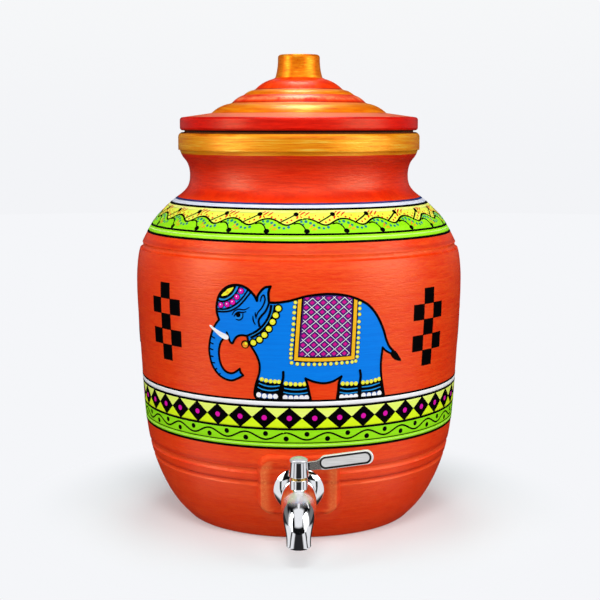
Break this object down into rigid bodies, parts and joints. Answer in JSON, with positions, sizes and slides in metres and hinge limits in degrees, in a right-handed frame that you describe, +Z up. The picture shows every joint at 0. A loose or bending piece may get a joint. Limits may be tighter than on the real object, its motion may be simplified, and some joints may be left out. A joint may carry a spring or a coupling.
{
  "type": "terracotta water jar",
  "caption": "Round-bellied clay water jar with a flared rim, a lift-off stepped lid with a knob, painted bands, and a chromed lever tap on a flat pad near the base.",
  "frame": {"origin": "centre of the flat base, on the surface that the jar stands on", "axes": "+Z up along the jar's axis, -Y to the front where the tap is, +X to the jar's right as seen from the front"},
  "size_m": [0.26, 0.3021, 0.3653],
  "materials": {
    "clay": "painted terracotta, satin, brushed",
    "lid_clay": "painted terracotta, satin, brushed, with gold bands",
    "chrome": "polished",
    "steel": "brushed",
    "brass": "machined",
    "rubber": "matt",
    "nylon": "matt"
  },
  "bodies": {
    "jar": {"jar_body": "clay", "tap_body": "chrome", "tap_flange": "chrome", "outer_seal": "rubber", "inner_seal": "rubber", "back_washer": "steel", "back_nut": "brass", "friction_washer": "nylon", "gland_bush": "brass"},
    "lid": {"lid": "lid_clay"},
    "lever": {"plug_spindle": "brass", "plug_o_rings": "rubber", "lever_handle": "chrome", "handle_screw": "steel", "lever_cap": "chrome", "name_plate": "steel"}
  },
  "joints": [
    {"name": "lid_lift", "type": "slide", "parent": "jar", "child": "lid", "axis": [0, 0, 1], "range_m": [0, 0.1]},
    {"name": "lever_turn", "type": "hinge", "parent": "jar", "child": "lever", "pos_m": [0, -0.1385, 0.06], "axis": [0, 0, 1], "range_deg": [-90, 0]}
  ]
}
